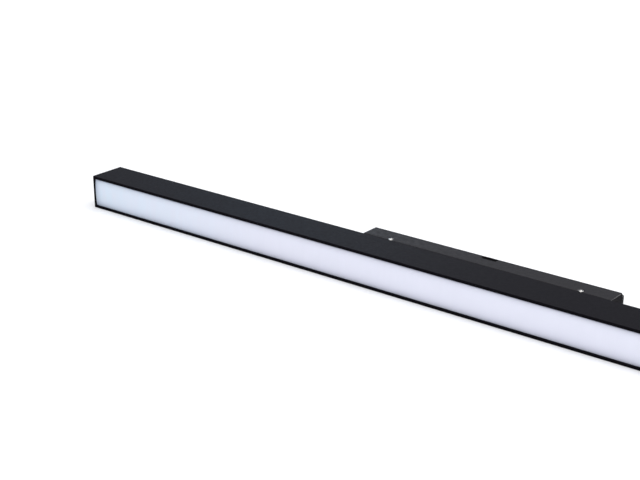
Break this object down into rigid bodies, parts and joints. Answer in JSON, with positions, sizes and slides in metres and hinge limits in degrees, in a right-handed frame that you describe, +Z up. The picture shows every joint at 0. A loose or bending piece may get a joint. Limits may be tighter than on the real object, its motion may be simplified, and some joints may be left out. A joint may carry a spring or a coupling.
{
  "type": "linear track luminaire",
  "caption": "Straight black LED bar with a full-length opal front and a driver box on its back that locks into three-circuit lighting track.",
  "frame": {"origin": "centre of the whole outline, on the plane of the side it lies on", "axes": "+X along the bar, -Y out of the opal face and +Y towards the track, +Z up through the bar's width"},
  "size_m": [0.912, 0.0776, 0.035],
  "materials": {
    "bar_coating": "matt black powder coat",
    "opal": "satin opal",
    "cap_plastic": "fine moulded grain",
    "housing_plastic": "fine moulded grain",
    "head_plastic": "fine moulded grain",
    "lever_plastic": "satin",
    "wheel_plastic": "satin",
    "turret_plastic": "satin",
    "steel": "turned",
    "zinc": "die cast, plated",
    "tray_steel": "zinc plated sheet",
    "screw_steel": "dark zinc plated",
    "screw_nickel": "nickel plated",
    "nickel": "nickel plated",
    "copper_alloy": "stamped",
    "lead_earth": "green and yellow insulation",
    "lead_black": "insulation",
    "lead_red": "insulation",
    "grommet_rubber": "matt",
    "film": "satin film",
    "board_green": "solder resist",
    "board_white": "white solder resist",
    "film_capacitor_box": "gloss",
    "capacitor_sleeve": "shrink sleeve",
    "ferrite": "sintered",
    "component_black": "moulded",
    "winding_tape": "polyester tape",
    "terminal_green": "moulded",
    "white_plastic": "moulded"
  },
  "bodies": {
    "luminaire": {"bar_profile": "bar_coating", "opal_diffuser": "opal", "end_cap_left": "cap_plastic", "end_cap_right": "cap_plastic", "driver_housing": "housing_plastic", "lock_head_left": "head_plastic", "lock_head_right": "head_plastic", "contact_head": "head_plastic", "live_wiper": "copper_alloy", "neutral_wiper": "copper_alloy", "earth_spring_upper": "nickel", "earth_spring_lower": "nickel", "earth_lead": "lead_earth", "led_lead_negative": "lead_black", "led_lead_positive": "lead_red", "lead_grommet": "grommet_rubber", "gear_tray": "tray_steel", "insulation_sheet": "film", "driver_board": "board_green", "film_capacitor": "film_capacitor_box", "input_capacitor": "capacitor_sleeve", "output_capacitor": "capacitor_sleeve", "filter_choke": "ferrite", "rectifier": "component_black", "transformer_core": "ferrite", "transformer_coil": "winding_tape", "output_terminal": "terminal_green", "led_board_left": "board_white", "led_board_centre": "board_white", "led_board_right": "board_white", "board_link_left": "white_plastic", "board_link_right": "white_plastic", "end_cap_screw_left_lower": "screw_steel", "housing_screw_left_lower": "screw_nickel", "end_cap_screw_left_upper": "screw_steel", "housing_screw_left_upper": "screw_nickel", "tray_screw_left_inner": "screw_steel", "tray_screw_left_outer": "screw_steel", "end_cap_screw_right_lower": "screw_steel", "housing_screw_right_lower": "screw_nickel", "end_cap_screw_right_upper": "screw_steel", "housing_screw_right_upper": "screw_nickel", "tray_screw_right_inner": "screw_steel", "tray_screw_right_outer": "screw_steel"},
    "lock_left": {"lock_shaft_left": "steel", "lock_wing_left": "zinc", "lock_lever_left": "lever_plastic", "lock_ring_left": "steel"},
    "lock_right": {"lock_shaft_right": "steel", "lock_wing_right": "zinc", "lock_lever_right": "lever_plastic", "lock_ring_right": "steel"},
    "selector": {"selector_wheel": "wheel_plastic", "contact_turret": "turret_plastic", "live_contact": "copper_alloy", "neutral_contact": "copper_alloy", "live_slip_ring": "copper_alloy", "neutral_slip_ring": "copper_alloy"}
  },
  "joints": [
    {"name": "lock_left_turn", "type": "hinge", "parent": "luminaire", "child": "lock_left", "pos_m": [-0.104, 0.0175, 0.0175], "axis": [0, -1, 0], "range_deg": [0, 90]},
    {"name": "lock_right_turn", "type": "hinge", "parent": "luminaire", "child": "lock_right", "pos_m": [0.104, 0.0175, 0.0175], "axis": [0, 1, 0], "range_deg": [0, 90]},
    {"name": "selector_turn", "type": "hinge", "parent": "luminaire", "child": "selector", "pos_m": [0, 0.0175, 0.0175], "axis": [0, 1, 0], "range_deg": [-90, 90]}
  ]
}
